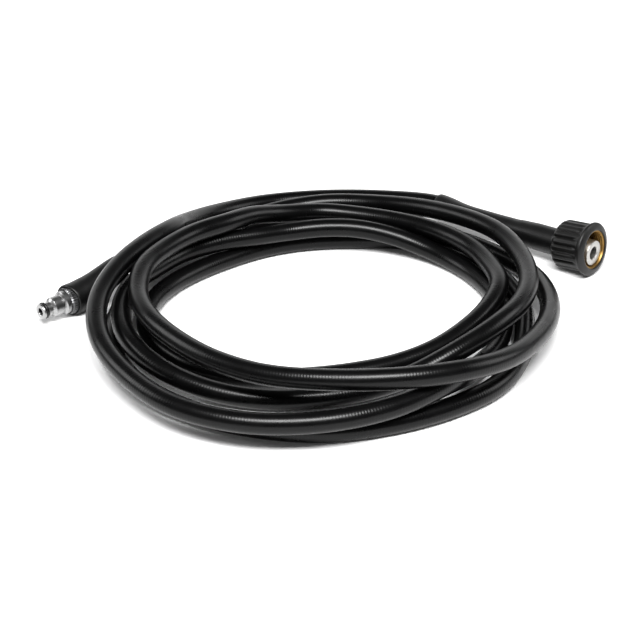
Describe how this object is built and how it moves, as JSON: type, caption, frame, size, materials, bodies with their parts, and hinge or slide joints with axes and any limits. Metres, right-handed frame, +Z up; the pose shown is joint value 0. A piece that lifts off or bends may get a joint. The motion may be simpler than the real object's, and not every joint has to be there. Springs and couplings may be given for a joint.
{
  "type": "pressure washer hose",
  "caption": "High-pressure rubber hose in a loose flat coil, with a swivel thread nut on the pump end and a plug nipple on the gun end.",
  "frame": {"origin": "middle of the footprint of the whole lying object, on the floor", "axes": "+Z up from the floor, +X from the gun end towards the pump end across the coil, +Y to the side where the pump end's sleeve leaves the coil"},
  "size_m": [0.3356, 0.3024, 0.037],
  "materials": {
    "hose_rubber": "satin black, finely ribbed by its braid wrap",
    "sleeve_rubber": "satin black moulding",
    "nut_plastic": "satin black moulding",
    "thread_brass": "machined",
    "nipple_nickel": "turned, nickel plated",
    "gun_sleeve_rubber": "satin black moulding",
    "ferrule_steel": "dark, knurled",
    "nipple_chrome": "bright plated",
    "seal_rubber": "smooth black"
  },
  "bodies": {
    "hose_line": {"hose": "hose_rubber", "pump_end_sleeve": "sleeve_rubber", "pump_end_nipple": "nipple_nickel", "gun_end_sleeve": "gun_sleeve_rubber", "gun_end_ferrule": "ferrule_steel", "gun_end_nipple": "nipple_chrome", "nipple_seal_ring": "seal_rubber"},
    "nut": {"swivel_nut": "nut_plastic", "nut_thread_insert": "thread_brass"}
  },
  "joints": [
    {"name": "nut_swivel", "type": "hinge", "parent": "hose_line", "child": "nut", "pos_m": [0.1576, 0.0473, 0.01707], "axis": [0.7603, -0.638, 0.1219], "continuous": true}
  ]
}
